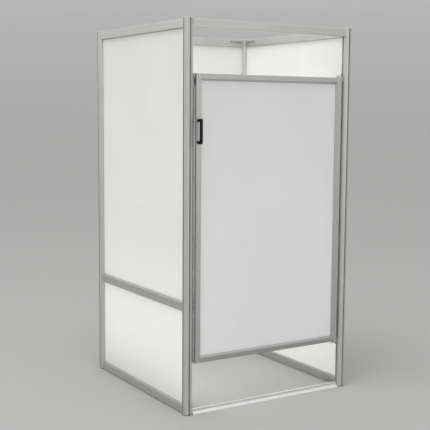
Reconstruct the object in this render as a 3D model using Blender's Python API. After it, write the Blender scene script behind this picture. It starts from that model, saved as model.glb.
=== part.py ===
"""Modular panel booth: four slotted posts, clamped beams, infill panels and a pivoting framed door.

Units are metres, +Z is up, the door faces -Y. The origin lies on the floor, at the middle of the
outer box. Every piece is its own closed solid; neighbours keep a working gap.
"""

import math

import bmesh
import bpy
from mathutils import Matrix, Vector

# Overall size
HEIGHT = 2.000
MODULE = 1.000  # post centre to post centre, both ways
HALF = MODULE / 2
GAP = 0.0003  # between touching pieces

# Posts: round extrusions with four T-slots
POST_RADIUS = 0.025
SLOT_HALF = 0.004
SLOT_LIP = 0.0215  # distance from the axis to the inside of the slot's lips
CAVITY_HALF = 0.007
CAVITY_FLOOR = 0.0145
POST_BORE = 0.008
CAP_THICKNESS = 0.004
FOOT_THICKNESS = 0.003
FOOT_RADIUS = 0.022
PLUG_DEPTH = 0.015

# Beams between the posts
BEAM_HEIGHT = 0.045
BEAM_THICKNESS = 0.030
BEAM_WALL = 0.002
BEAM_CORNER = 0.003
BEAM_END = 0.026  # from the post axis to the sawn end of the threshold
BEAM_CORNER_END = 0.020  # from the post axis to the outer corners of a beam's end
SADDLE_RADIUS = 0.0255  # the end of a beam is hollowed out to fit round the post
SADDLE_SIDES = 72
PANEL_SLOT_HALF = 0.003
PANEL_SLOT_DEPTH = 0.012
TOP_BEAM_Z = HEIGHT - CAP_THICKNESS - BEAM_HEIGHT / 2
MID_BEAM_Z = 0.580 - BEAM_HEIGHT / 2
LOW_BEAM_Z = FOOT_THICKNESS + BEAM_HEIGHT / 2

# Infill panels
PANEL_THICKNESS = 0.005
PANEL_SIDE = 0.019  # from the post axis to the panel's edge inside the slot
PANEL_ENTRY = 0.010  # how far a panel enters the slot of a beam or rail

# Tension locks inside the beam ends
LOCK_HALF_HEIGHT = 0.007
LOCK_HEAD_NEAR = 0.0152
LOCK_HEAD_FAR = 0.0208
LOCK_HEAD_HALF = 0.006
LOCK_NECK_HALF = 0.003
LOCK_BODY_NEAR = 0.034
LOCK_BODY_FAR = 0.118
LOCK_BODY_HALF = 0.008
CAM_FROM_POST = 0.110
CAM_RADIUS = 0.006
CAM_HOLE = 0.0065
CAM_SOCKET = 0.003
CAM_SOCKET_DEPTH = 0.004
WINDOW_NEAR = 0.040  # slot in the beam that shows the lock, from the post axis
WINDOW_FAR = 0.092
WINDOW_HALF = 0.004

# Threshold under the door
SILL_HEIGHT = 0.025
SILL_HALF_TOP = 0.008
SILL_HALF_BASE = 0.020
SILL_SHOULDER = 0.012
SILL_FOOT_EDGE = 0.001

# Door leaf
LEAF_FROM_POST = 0.040  # post axis to the edge of the leaf
LEAF_BOTTOM = 0.265
LEAF_TOP = 1.730
LEAF_HALF = 0.015
RAIL_FACE = 0.034
FACE_FLAT = 0.0255  # from the outer edge, where the bevel down to the panel starts
FACE_INNER = 0.006  # half thickness of the profile at its inner edge
COPE_GAP = 0.0004
COPE_BEYOND = 0.001
COPE_START = 0.010
SEAL_FRONT = -0.011  # the seal groove lies near the front face of the leaf
SEAL_BACK = -0.007
SEAL_DEPTH = 0.005
LEAF_CHAMBER = (0.007, 0.021, 0.0115)  # from, to and half width inside the leaf profile
PIVOT_INSET = 0.014  # edge of the leaf to the hinge axis

# Hinge fittings
PIN_RADIUS = 0.004
PIN_HEAD_RADIUS = 0.0065
PIN_HEAD = 0.003
PIN_REACH = 0.020  # how far the pin enters the leaf
BUSH_HEIGHT = 0.025
BUSH_BORE = 0.0043
PLATE_CLEAR = 0.004  # leaf to bracket plate
PLATE_THICKNESS = 0.004
PLATE_HALF = 0.011
LEG_NEAR = 0.026
LEG_FAR = 0.029
LEG_DOWN = 0.018
LEG_UP = 0.018
CLAMP_SCREW_RADIUS = 0.004

# Bow handle on the latch stile
HANDLE_INSET = 0.012  # leaf edge to the middle of the handle
HANDLE_Z = 1.444
HANDLE_WIDTH = 0.013
HANDLE_HALF = 0.0645
HANDLE_DEPTH = 0.0325
HANDLE_BAR = 0.009
FOOT_PITCH_HALF = 0.053
FOOT_HALF = 0.0065
HANDLE_SCREW_RADIUS = 0.0025
HANDLE_HOLE_RADIUS = 0.0028
HANDLE_HOLE_DEPTH = 0.009

# Door stop in the slot of the latch post
STOP_Z = 1.690
STOP_HALF_HEIGHT = 0.020
STOP_WEB = (0.028, 0.031)
STOP_LIP_END = 0.062
STOP_LIP_THICKNESS = 0.003
STOP_CLEAR = 0.0005

# The handle is the only piece in front of the posts, so the posts stand a little behind the middle.
HANDLE_FRONT = LEAF_HALF + GAP + HANDLE_DEPTH
Y_SHIFT = (HANDLE_FRONT - POST_RADIUS) / 2
FRONT_Y = Y_SHIFT - HALF
BACK_Y = Y_SHIFT + HALF
PIVOT_X = HALF - LEAF_FROM_POST - PIVOT_INSET
LATCH_EDGE = -HALF + LEAF_FROM_POST - PIVOT_X  # leaf edge by the latch post, from the hinge axis


def clear_scene():
    for old in list(bpy.data.objects):
        bpy.data.objects.remove(old, do_unlink=True)


def material(name, colour, metallic, roughness):
    made = bpy.data.materials.new(name)
    made.use_nodes = True
    shader = made.node_tree.nodes["Principled BSDF"]
    shader.inputs["Base Color"].default_value = (*colour, 1)
    shader.inputs["Metallic"].default_value = metallic
    shader.inputs["Roughness"].default_value = roughness
    return made


def arc(cx, cy, radius, start, end, steps):
    """Points from start to end degrees round a centre, both ends included."""
    turns = [math.radians(start + (end - start) * k / steps) for k in range(steps + 1)]
    return [(cx + radius * math.cos(t), cy + radius * math.sin(t)) for t in turns]


def circle(cx, cy, radius, sides):
    return arc(cx, cy, radius, 0, 360, sides)[:-1]


def rectangle(x0, y0, x1, y1):
    return [(x0, y0), (x1, y0), (x1, y1), (x0, y1)]


def add_object(name, mesh, look, parent=None):
    made = bpy.data.objects.new(name, mesh)
    bpy.context.scene.collection.objects.link(made)
    made.data.materials.clear()
    made.data.materials.append(look)
    made.parent = parent
    return made


def extruded_mesh(name, loops, low, high, axis="Z"):
    """A closed solid: the outline loops[0], less the holes loops[1:], drawn out along one axis.

    Along Z the outline lies in XY, along X in YZ, and along Y in XZ."""
    bm = bmesh.new()
    edges = []
    for loop in loops:
        ring = [bm.verts.new((a, b, low)) for a, b in loop]
        edges += [bm.edges.new((ring[k - 1], ring[k])) for k in range(len(ring))]
    bmesh.ops.triangle_fill(bm, use_beauty=True, use_dissolve=False, edges=edges)
    drawn = bmesh.ops.extrude_face_region(bm, geom=bm.faces[:])
    top = [item for item in drawn["geom"] if isinstance(item, bmesh.types.BMVert)]
    bmesh.ops.translate(bm, verts=top, vec=(0, 0, high - low))
    turns = {
        "Z": Matrix.Identity(3),
        "X": Matrix(((0, 0, 1), (1, 0, 0), (0, 1, 0))),
        "Y": Matrix(((1, 0, 0), (0, 0, 1), (0, 1, 0))),
    }
    bmesh.ops.transform(bm, matrix=turns[axis].to_4x4(), verts=bm.verts)
    return finished_mesh(name, bm)


def finished_mesh(name, bm):
    bmesh.ops.recalc_face_normals(bm, faces=bm.faces)
    mesh = bpy.data.meshes.new(name)
    bm.to_mesh(mesh)
    bm.free()
    mesh.shade_smooth()
    mesh.set_sharp_from_angle(angle=math.radians(30))
    return mesh


def turned_mesh(name, profile, sides):
    """A solid of revolution round Z. The profile's first and last points lie on the axis."""
    bm = bmesh.new()
    rings = []
    for radius, z in profile[1:-1]:
        rings.append([bm.verts.new((x, y, z)) for x, y in circle(0, 0, radius, sides)])
    first = bm.verts.new((0, 0, profile[0][1]))
    last = bm.verts.new((0, 0, profile[-1][1]))
    for k in range(sides):
        bm.faces.new((first, rings[0][k], rings[0][k - 1]))
        bm.faces.new((last, rings[-1][k - 1], rings[-1][k]))
        for lower, upper in zip(rings, rings[1:]):
            bm.faces.new((lower[k - 1], lower[k], upper[k], upper[k - 1]))
    return finished_mesh(name, bm)


def box_mesh(name, low, high):
    return extruded_mesh(name, [rectangle(low[0], low[1], high[0], high[1])], low[2], high[2])


def cylinder_mesh(name, centre, radius, low, high, axis, sides):
    return extruded_mesh(name, [circle(centre[0], centre[1], radius, sides)], low, high, axis)


def combine(target, tool_mesh, operation):
    """Adds a Boolean to target, with a hidden tool that follows it."""
    tool = bpy.data.objects.new(f"{target.name}_tool_{len(target.modifiers)}", tool_mesh)
    bpy.context.scene.collection.objects.link(tool)
    tool.hide_render = True
    tool.display_type = "WIRE"
    tool.parent = target
    boolean = target.modifiers.new(f"{operation.title()}{len(target.modifiers)}", "BOOLEAN")
    boolean.operation = operation
    boolean.solver = "EXACT"
    boolean.object = tool


def empty(name, location, turn=0.0):
    made = bpy.data.objects.new(name, None)
    made.location = location
    made.rotation_euler = (0, 0, math.radians(turn))
    bpy.context.scene.collection.objects.link(made)
    return made


def make_looks():
    return {
        "post": material("post_aluminium", (0.60, 0.60, 0.58), 1.0, 0.35),
        "cap": material("cap_grey_plastic", (0.55, 0.55, 0.54), 0.0, 0.45),
        "foot": material("foot_black_plastic", (0.03, 0.03, 0.03), 0.0, 0.6),
        "beam": material("beam_aluminium", (0.60, 0.60, 0.58), 1.0, 0.38),
        "sill": material("threshold_aluminium", (0.62, 0.62, 0.61), 1.0, 0.35),
        "panel": material("white_panel", (0.86, 0.86, 0.84), 0.0, 0.45),
        "lock": material("zinc_plated_steel", (0.30, 0.30, 0.30), 1.0, 0.45),
        "leaf": material("door_frame_aluminium", (0.58, 0.58, 0.57), 1.0, 0.38),
        "handle": material("black_handle", (0.010, 0.010, 0.010), 0.0, 0.4),
        "bush": material("black_nylon", (0.02, 0.02, 0.02), 0.0, 0.55),
        "steel": material("bright_steel", (0.50, 0.50, 0.50), 1.0, 0.3),
        "bracket": material("bracket_aluminium", (0.50, 0.50, 0.50), 1.0, 0.4),
    }


def post_outline():
    """Four rounded lobes with a T-slot between each pair, counter-clockwise."""
    mouth = math.sqrt(POST_RADIUS**2 - SLOT_HALF**2)
    edge = math.degrees(math.asin(SLOT_HALF / POST_RADIUS))
    slot = [
        (mouth, -SLOT_HALF),
        (SLOT_LIP, -SLOT_HALF),
        (SLOT_LIP, -CAVITY_HALF),
        (CAVITY_FLOOR, -CAVITY_HALF),
        (CAVITY_FLOOR, CAVITY_HALF),
        (SLOT_LIP, CAVITY_HALF),
        (SLOT_LIP, SLOT_HALF),
    ]
    quarter = slot + arc(0, 0, POST_RADIUS, edge, 90 - edge, 8)[:-1]
    outline = []
    for k in range(4):
        turn = Matrix.Rotation(math.radians(90 * k), 2)
        outline += [tuple(turn @ Vector(point)) for point in quarter]
    return outline


def make_posts(looks):
    corners = {
        "front_left": (-HALF, FRONT_Y),
        "front_right": (HALF, FRONT_Y),
        "back_left": (-HALF, BACK_Y),
        "back_right": (HALF, BACK_Y),
    }
    loops = [post_outline(), circle(0, 0, POST_BORE, 16)]
    low = FOOT_THICKNESS + GAP
    post = extruded_mesh("post", loops, low, HEIGHT - CAP_THICKNESS - GAP)
    boss = POST_BORE - 0.0005
    under_cap = HEIGHT - CAP_THICKNESS
    cap_profile = [
        (0, under_cap - PLUG_DEPTH),
        (boss, under_cap - PLUG_DEPTH),
        (boss, under_cap),
        (POST_RADIUS, under_cap),
        (POST_RADIUS, HEIGHT - 0.0015),
        (POST_RADIUS - 0.0015, HEIGHT),
        (0, HEIGHT),
    ]
    cap = turned_mesh("cap", cap_profile, 32)
    foot_profile = [
        (0, 0),
        (FOOT_RADIUS - 0.001, 0),
        (FOOT_RADIUS, 0.001),
        (FOOT_RADIUS, FOOT_THICKNESS),
        (boss, FOOT_THICKNESS),
        (boss, FOOT_THICKNESS + PLUG_DEPTH),
        (0, FOOT_THICKNESS + PLUG_DEPTH),
    ]
    foot = turned_mesh("foot", foot_profile, 32)
    for corner, (x, y) in corners.items():
        place = empty(f"corner_{corner}", (x, y, 0))
        add_object(f"post_{corner}", post.copy(), looks["post"], place)
        add_object(f"post_cap_{corner}", cap.copy(), looks["cap"], place)
        add_object(f"foot_plug_{corner}", foot.copy(), looks["foot"], place)


def beam_loops(slot_below, slot_above):
    """The beam's section in YZ round its own centre: outline, then the hollow chamber."""
    y = BEAM_THICKNESS / 2
    z = BEAM_HEIGHT / 2
    r = BEAM_CORNER
    s = PANEL_SLOT_HALF
    floor = z - PANEL_SLOT_DEPTH
    outline = arc(-y + r, -z + r, r, 180, 270, 3)
    if slot_below:
        outline += [(-s, -z), (-s, -floor), (s, -floor), (s, -z)]
    outline += arc(y - r, -z + r, r, 270, 360, 3) + arc(y - r, z - r, r, 0, 90, 3)
    if slot_above:
        outline += [(s, z), (s, floor), (-s, floor), (-s, z)]
    outline += arc(-y + r, z - r, r, 90, 180, 3)
    low, high = chamber_range(slot_below, slot_above)
    inner = y - BEAM_WALL
    return [outline, rectangle(-inner, low, inner, high)]


def chamber_range(slot_below, slot_above):
    """Lowest and highest z of the beam's hollow chamber, from the beam's centre."""
    plain = BEAM_HEIGHT / 2 - BEAM_WALL
    beside_slot = BEAM_HEIGHT / 2 - PANEL_SLOT_DEPTH - BEAM_WALL
    return (-beside_slot if slot_below else -plain, beside_slot if slot_above else plain)


def make_beam(name, z, slots, wall, looks):
    """A beam along its wall's X axis. Wall space has the posts at x = -HALF and HALF, inside at +Y."""
    reach = HALF - BEAM_CORNER_END
    beam = add_object(name, extruded_mesh(name, beam_loops(*slots), -reach, reach, "X"),
                      looks["beam"], wall)
    beam.location.z = z
    middle = sum(chamber_range(*slots)) / 2
    start = BEAM_THICKNESS / 2 - 2 * BEAM_WALL
    for side in (-1, 1):
        post = cylinder_mesh("post", (side * HALF, 0), SADDLE_RADIUS, -BEAM_HEIGHT, BEAM_HEIGHT, "Z",
                             SADDLE_SIDES)
        combine(beam, post, "DIFFERENCE")
        hole = cylinder_mesh("hole", (side * (HALF - CAM_FROM_POST), middle), CAM_HOLE,
                             start, BEAM_THICKNESS, "Y", 16)
        combine(beam, hole, "DIFFERENCE")
        near, far = sorted((side * (HALF - WINDOW_NEAR - WINDOW_HALF),
                            side * (HALF - WINDOW_FAR + WINDOW_HALF)))
        window = arc(near, middle, WINDOW_HALF, 90, 270, 6) + arc(far, middle, WINDOW_HALF, -90, 90, 6)
        combine(beam, extruded_mesh("window", [window], start, BEAM_THICKNESS, "Y"), "DIFFERENCE")


def lock_outline():
    """The lock seen from above: hook head in the post's slot, neck, and body in the beam."""
    return [
        (LOCK_HEAD_NEAR, -LOCK_HEAD_HALF),
        (LOCK_HEAD_FAR, -LOCK_HEAD_HALF),
        (LOCK_HEAD_FAR, -LOCK_NECK_HALF),
        (LOCK_BODY_NEAR, -LOCK_NECK_HALF),
        (LOCK_BODY_NEAR, -LOCK_BODY_HALF),
        (LOCK_BODY_FAR, -LOCK_BODY_HALF),
        (LOCK_BODY_FAR, LOCK_BODY_HALF),
        (LOCK_BODY_NEAR, LOCK_BODY_HALF),
        (LOCK_BODY_NEAR, LOCK_NECK_HALF),
        (LOCK_HEAD_FAR, LOCK_NECK_HALF),
        (LOCK_HEAD_FAR, LOCK_HEAD_HALF),
        (LOCK_HEAD_NEAR, LOCK_HEAD_HALF),
    ]


def make_lock(name, z, slots, side, wall, looks):
    """A tension lock at one end of a beam; side -1 is the end at the wall's low x."""
    outline = [(side * (HALF - x), y) for x, y in lock_outline()]
    lock = add_object(name, extruded_mesh(name, [outline], -LOCK_HALF_HEIGHT, LOCK_HALF_HEIGHT),
                      looks["lock"], wall)
    lock.location.z = z + sum(chamber_range(*slots)) / 2
    cam = (side * (HALF - CAM_FROM_POST), 0)
    face = BEAM_THICKNESS / 2 - 0.0002
    barrel = cylinder_mesh("barrel", cam, CAM_RADIUS, LOCK_BODY_HALF - 0.003, face, "Y", 16)
    socket = cylinder_mesh("socket", cam, CAM_SOCKET, face - CAM_SOCKET_DEPTH, face + 0.002, "Y", 6)
    combine(lock, barrel, "UNION")
    combine(lock, socket, "DIFFERENCE")


def make_panel(name, low, high, wall, looks):
    half = PANEL_THICKNESS / 2
    reach = HALF - PANEL_SIDE
    add_object(name, box_mesh(name, (-reach, -half, low), (reach, half, high)), looks["panel"], wall)


def make_walls(looks):
    """Beams, locks and panels of the three walls, and the head beam over the door."""
    walls = {
        "front": ((0, FRONT_Y), 0),
        "right": ((HALF, Y_SHIFT), 90),
        "back": ((0, BACK_Y), 180),
        "left": ((-HALF, Y_SHIFT), -90),
    }
    levels = {
        "top": (TOP_BEAM_Z, (True, False)),
        "middle": (MID_BEAM_Z, (True, True)),
        "bottom": (LOW_BEAM_Z, (False, True)),
    }
    half = BEAM_HEIGHT / 2
    lower_panel = (LOW_BEAM_Z + half - PANEL_ENTRY, MID_BEAM_Z - half + PANEL_ENTRY)
    upper_panel = (MID_BEAM_Z + half - PANEL_ENTRY, TOP_BEAM_Z - half + PANEL_ENTRY)
    for wall_name, ((x, y), turn) in walls.items():
        wall = empty(f"wall_{wall_name}", (x, y, 0), turn)
        for level, (z, slots) in levels.items():
            if wall_name == "front" and level != "top":
                continue
            used = (False, False) if wall_name == "front" else slots
            make_beam(f"{wall_name}_{level}_beam", z, used, wall, looks)
            if level == "middle":
                continue
            for side, end in ((-1, "a"), (1, "b")):
                make_lock(f"{wall_name}_{level}_lock_{end}", z, used, side, wall, looks)
        if wall_name != "front":
            make_panel(f"{wall_name}_lower_panel", *lower_panel, wall, looks)
            make_panel(f"{wall_name}_upper_panel", *upper_panel, wall, looks)


def make_threshold(looks):
    """A low bar with 45 degree skirts, hooked into the front posts by a tongue at each end."""
    outline = [
        (-SILL_HALF_BASE, 0),
        (SILL_HALF_BASE, 0),
        (SILL_HALF_BASE, SILL_FOOT_EDGE),
        (SILL_HALF_TOP, SILL_SHOULDER + SILL_FOOT_EDGE),
        (SILL_HALF_TOP, SILL_HEIGHT),
        (-SILL_HALF_TOP, SILL_HEIGHT),
        (-SILL_HALF_TOP, SILL_SHOULDER + SILL_FOOT_EDGE),
        (-SILL_HALF_BASE, SILL_FOOT_EDGE),
    ]
    reach = HALF - BEAM_END
    place = empty("threshold_place", (0, FRONT_Y, 0))
    sill = add_object("threshold", extruded_mesh("threshold", [outline], -reach, reach, "X"),
                      looks["sill"], place)
    for side in (-1, 1):
        near = side * (HALF - LOCK_HEAD_NEAR)
        far = side * (HALF - BEAM_END - 0.010)
        tongue = box_mesh("tongue", (min(near, far), -LOCK_NECK_HALF, 0.004),
                          (max(near, far), LOCK_NECK_HALF, SILL_HEIGHT - 0.005))
        combine(sill, tongue, "UNION")


def leaf_loops(outer, inward):
    """The leaf's frame section. outer is its outer edge, inward the sign towards the panel."""
    v = LEAF_HALF
    r = BEAM_CORNER
    outline = [
        *arc(r, -v + r, r, 180, 270, 3),
        (FACE_FLAT, -v),
        (RAIL_FACE, -FACE_INNER),
        (RAIL_FACE, -PANEL_SLOT_HALF),
        (RAIL_FACE - PANEL_SLOT_DEPTH, -PANEL_SLOT_HALF),
        (RAIL_FACE - PANEL_SLOT_DEPTH, PANEL_SLOT_HALF),
        (RAIL_FACE, PANEL_SLOT_HALF),
        (RAIL_FACE, FACE_INNER),
        (FACE_FLAT, v),
        *arc(r, v - r, r, 90, 180, 3),
        (0, SEAL_BACK),
        (SEAL_DEPTH, SEAL_BACK),
        (SEAL_DEPTH, SEAL_FRONT),
        (0, SEAL_FRONT),
    ]
    start, end, half = LEAF_CHAMBER
    loops = [outline, rectangle(start, -half, end, half)]
    return [[(outer + inward * u, w) for u, w in loop] for loop in loops]


def cope_outline(outer, inward):
    """The stile's bevelled inner half with its clearance, which the end of a rail is cut to fit."""
    over = COPE_BEYOND * (RAIL_FACE - FACE_FLAT) / (LEAF_HALF - FACE_INNER)
    edge = FACE_FLAT + COPE_GAP - over
    wide = LEAF_HALF + COPE_BEYOND
    outline = [
        (COPE_START, -wide),
        (edge, -wide),
        (RAIL_FACE + COPE_GAP, -FACE_INNER),
        (RAIL_FACE + COPE_GAP, FACE_INNER),
        (edge, wide),
        (COPE_START, wide),
    ]
    return [[(outer + inward * u, w) for u, w in outline]]


def make_leaf(pivot, looks):
    """Stiles, rails and panel. Pivot space has the hinge axis at x = 0."""
    add_object("door_hinge_stile", extruded_mesh("hinge_stile",
               leaf_loops(PIVOT_INSET, -1), LEAF_BOTTOM, LEAF_TOP), looks["leaf"], pivot)
    latch = add_object("door_latch_stile", extruded_mesh("latch_stile",
                       leaf_loops(LATCH_EDGE, 1), LEAF_BOTTOM, LEAF_TOP), looks["leaf"], pivot)
    for side in (-1, 1):
        place = (LATCH_EDGE + HANDLE_INSET, HANDLE_Z + side * FOOT_PITCH_HALF)
        hole = cylinder_mesh("hole", place, HANDLE_HOLE_RADIUS, -2 * LEAF_HALF, 2 * LEAF_HALF, "Y", 12)
        combine(latch, hole, "DIFFERENCE")
    left = LATCH_EDGE + FACE_FLAT
    right = PIVOT_INSET - FACE_FLAT
    for name, edge, inward in (("bottom", LEAF_BOTTOM, 1), ("top", LEAF_TOP, -1)):
        loops = [[(w, z) for z, w in loop] for loop in leaf_loops(edge, inward)]
        rail = add_object(f"door_{name}_rail", extruded_mesh(name, loops, left, right, "X"),
                          looks["leaf"], pivot)
        for outer, way in ((LATCH_EDGE, 1), (PIVOT_INSET, -1)):
            cope = extruded_mesh("cope", cope_outline(outer, way), edge - RAIL_FACE * 2,
                                 edge + RAIL_FACE * 2)
            combine(rail, cope, "DIFFERENCE")
    half = PANEL_THICKNESS / 2
    inset = RAIL_FACE - PANEL_ENTRY
    low = (LATCH_EDGE + inset, -half, LEAF_BOTTOM + inset)
    high = (PIVOT_INSET - inset, half, LEAF_TOP - inset)
    add_object("door_panel", box_mesh("door_panel", low, high), looks["panel"], pivot)


def handle_outline():
    """The bow handle in side view: x runs out from the stile's face, y along the height."""
    d, b, h = HANDLE_DEPTH, HANDLE_BAR, HANDLE_HALF
    foot_out = FOOT_PITCH_HALF + FOOT_HALF
    foot_in = FOOT_PITCH_HALF - FOOT_HALF
    finger = h - b - 0.005
    outer = arc(d - 0.009, h - 0.009, 0.009, 100, 0, 5)
    inner = arc(d - b - 0.005, finger - 0.005, 0.005, 0, 100, 3)
    upper = [(0, foot_out)] + outer
    lower = [(x, -z) for x, z in reversed(upper)]
    back = [(x, -z) for x, z in reversed(inner)]
    return upper + lower + [(0, -foot_in)] + back + inner + [(0, foot_in)]


def make_handle(pivot, looks):
    x = LATCH_EDGE + HANDLE_INSET
    face = -LEAF_HALF - GAP
    outline = [(face - out, HANDLE_Z + z) for out, z in handle_outline()]
    half = HANDLE_WIDTH / 2
    handle = add_object("door_handle", extruded_mesh("door_handle", [outline], x - half, x + half, "X"),
                        looks["handle"], pivot)
    bevel = handle.modifiers.new("Rounding", "BEVEL")
    bevel.width = 0.0025
    bevel.segments = 2
    bevel.limit_method = "ANGLE"
    bevel.angle_limit = math.radians(50)
    for side, end in ((-1, "lower"), (1, "upper")):
        z = HANDLE_Z + side * FOOT_PITCH_HALF
        hole = cylinder_mesh("hole", (x, z), HANDLE_HOLE_RADIUS,
                             face - HANDLE_HOLE_DEPTH, face + 0.005, "Y", 12)
        combine(handle, hole, "DIFFERENCE")
        profile = [
            (0, 0),
            (HANDLE_SCREW_RADIUS, 0),
            (HANDLE_SCREW_RADIUS, 2 * LEAF_HALF + HANDLE_HOLE_DEPTH - 0.0005),
            (0.0045, 2 * LEAF_HALF + HANDLE_HOLE_DEPTH - 0.0005),
            (0.0045, 2 * LEAF_HALF + HANDLE_HOLE_DEPTH + 0.0015),
            (0.0025, 2 * LEAF_HALF + HANDLE_HOLE_DEPTH + 0.0025),
            (0, 2 * LEAF_HALF + HANDLE_HOLE_DEPTH + 0.0025),
        ]
        screw = add_object(f"handle_screw_{end}", turned_mesh("screw", profile, 12),
                           looks["steel"], pivot)
        screw.rotation_euler = (math.radians(-90), 0, 0)
        screw.location = (x, -LEAF_HALF - HANDLE_HOLE_DEPTH + 2 * GAP + 0.0002, z)


def make_hinge(name, edge_z, outward, pivot, place, looks):
    """Bracket, clamp screw, pin and bush at one end of the leaf. outward is +1 above, -1 below.

    The bracket and pin stay with the post, the bush rides in the hinge stile."""
    def span(start, end):
        return tuple(sorted((edge_z + outward * start, edge_z + outward * end)))

    leg = -(HALF - PIVOT_X)  # from the post axis to the hinge axis, in post space
    plate_low, plate_high = span(PLATE_CLEAR, PLATE_CLEAR + PLATE_THICKNESS)
    plate = [(-LEG_NEAR, -PLATE_HALF), (-LEG_NEAR, PLATE_HALF), (leg, PLATE_HALF)]
    plate += arc(leg, 0, PLATE_HALF, 90, 270, 8)[1:-1] + [(leg, -PLATE_HALF)]
    bracket = add_object(f"{name}_hinge_bracket",
                         extruded_mesh("plate", [plate, circle(leg, 0, BUSH_BORE, 16)], plate_low,
                                       plate_high), looks["bracket"], place)
    leg_low, leg_high = span(-LEG_DOWN, PLATE_CLEAR + LEG_UP)
    combine(bracket, box_mesh("leg", (-LEG_FAR, -0.009, leg_low), (-LEG_NEAR, 0.009, leg_high)),
            "UNION")
    neck_low, neck_high = span(-LEG_DOWN + 0.002, -0.001)
    head = [(-x, y) for x, y in lock_outline()[:4]] + [(-LEG_NEAR - 0.001, -LOCK_NECK_HALF)]
    head = [point for point in head if point[0] > -LOCK_BODY_NEAR]
    head += [(x, -y) for x, y in reversed(head)]
    combine(bracket, extruded_mesh("tongue", [head], neck_low, neck_high), "UNION")
    screw_z = edge_z + outward * (PLATE_CLEAR + PLATE_THICKNESS + 0.008)
    screw_hole = cylinder_mesh("screw_hole", (0, screw_z), 0.0028, -LEG_FAR - 0.001,
                               -LEG_NEAR + 0.001, "X", 12)
    combine(bracket, screw_hole, "DIFFERENCE")

    profile = [
        (0, 0),
        (CLAMP_SCREW_RADIUS, 0),
        (CLAMP_SCREW_RADIUS, 0.003),
        (0.0025, 0.003),
        (0.0025, 0.011),
        (0, 0.011),
    ]
    screw = add_object(f"{name}_clamp_screw", turned_mesh("clamp_screw", profile, 12),
                       looks["handle"], place)
    screw.rotation_euler = (0, math.radians(90), 0)
    screw.location = (-LEG_FAR - GAP - 0.003, 0, screw_z)

    above_plate = PLATE_CLEAR + PLATE_THICKNESS + GAP
    pin_profile = [
        (0, -PIN_REACH),
        (PIN_RADIUS - 0.001, -PIN_REACH),
        (PIN_RADIUS, -PIN_REACH + 0.001),
        (PIN_RADIUS, above_plate),
        (PIN_HEAD_RADIUS, above_plate),
        (PIN_HEAD_RADIUS, above_plate + PIN_HEAD),
        (0, above_plate + PIN_HEAD),
    ]
    pin = add_object(f"{name}_hinge_pin", turned_mesh("pin", pin_profile, 16), looks["steel"], place)
    pin.location = (leg, 0, edge_z)
    if outward < 0:
        pin.rotation_euler = (math.radians(180), 0, 0)

    start, end, half = LEAF_CHAMBER
    bush_half = (end - start) / 2 - GAP
    outline = rectangle(-bush_half, -half + GAP, bush_half, half - GAP)
    bush_low, bush_high = span(-BUSH_HEIGHT, 0)
    add_object(f"{name}_hinge_bush",
               extruded_mesh("bush", [outline, circle(0, 0, BUSH_BORE, 16)], bush_low, bush_high),
               looks["bush"], pivot)


def make_door_stop(looks):
    """A bent plate clamped in the latch post, with a lip behind the closed leaf."""
    lip = LEAF_HALF + STOP_CLEAR
    back = lip + STOP_LIP_THICKNESS
    web_in, web_out = STOP_WEB
    outline = [
        (LOCK_HEAD_NEAR, -LOCK_HEAD_HALF),
        (LOCK_HEAD_FAR, -LOCK_HEAD_HALF),
        (LOCK_HEAD_FAR, -LOCK_NECK_HALF),
        (web_out, -LOCK_NECK_HALF),
        (web_out, lip),
        (STOP_LIP_END, lip),
        (STOP_LIP_END, back),
        (web_in, back),
        (web_in, LOCK_NECK_HALF),
        (LOCK_HEAD_FAR, LOCK_NECK_HALF),
        (LOCK_HEAD_FAR, LOCK_HEAD_HALF),
        (LOCK_HEAD_NEAR, LOCK_HEAD_HALF),
    ]
    place = empty("stop_place", (-HALF, FRONT_Y, STOP_Z))
    add_object("door_stop_bracket", extruded_mesh("door_stop", [outline], -STOP_HALF_HEIGHT,
               STOP_HALF_HEIGHT), looks["bracket"], place)


def make_door(looks):
    pivot = empty("door_pivot", (PIVOT_X, FRONT_Y, 0))
    hinge_post = empty("hinge_post_place", (HALF, FRONT_Y, 0))
    make_leaf(pivot, looks)
    make_handle(pivot, looks)
    make_hinge("upper", LEAF_TOP, 1, pivot, hinge_post, looks)
    make_hinge("lower", LEAF_BOTTOM, -1, pivot, hinge_post, looks)
    make_door_stop(looks)


def main():
    clear_scene()
    looks = make_looks()
    make_posts(looks)
    make_walls(looks)
    make_threshold(looks)
    make_door(looks)


main()
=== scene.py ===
"""Looks of the modular panel booth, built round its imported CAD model.

Metres, +Z up, the door faces -Y. Every CAD node is drawn again with roundings, grooves and small
fittings, in its own place and on its own body. The gaskets, seals and pads, the latch stile's plugs
and the locks of the middle beams are only here.
"""

import math

import bmesh
import bpy
from mathutils import Matrix, Vector


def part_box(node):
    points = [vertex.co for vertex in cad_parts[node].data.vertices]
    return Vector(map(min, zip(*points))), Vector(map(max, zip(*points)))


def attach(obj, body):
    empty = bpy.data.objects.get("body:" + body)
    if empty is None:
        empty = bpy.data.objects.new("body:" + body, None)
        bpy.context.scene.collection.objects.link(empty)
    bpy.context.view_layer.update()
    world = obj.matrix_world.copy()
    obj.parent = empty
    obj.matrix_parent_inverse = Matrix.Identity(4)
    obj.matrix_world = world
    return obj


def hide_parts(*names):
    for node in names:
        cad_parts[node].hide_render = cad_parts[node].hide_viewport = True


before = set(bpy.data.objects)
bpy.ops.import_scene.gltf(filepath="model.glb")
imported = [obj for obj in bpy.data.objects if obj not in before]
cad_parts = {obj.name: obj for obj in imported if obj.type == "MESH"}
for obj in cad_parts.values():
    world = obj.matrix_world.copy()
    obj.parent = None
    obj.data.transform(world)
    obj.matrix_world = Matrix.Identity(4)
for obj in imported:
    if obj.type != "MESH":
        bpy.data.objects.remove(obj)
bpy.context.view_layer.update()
scene = bpy.context.scene

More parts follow.
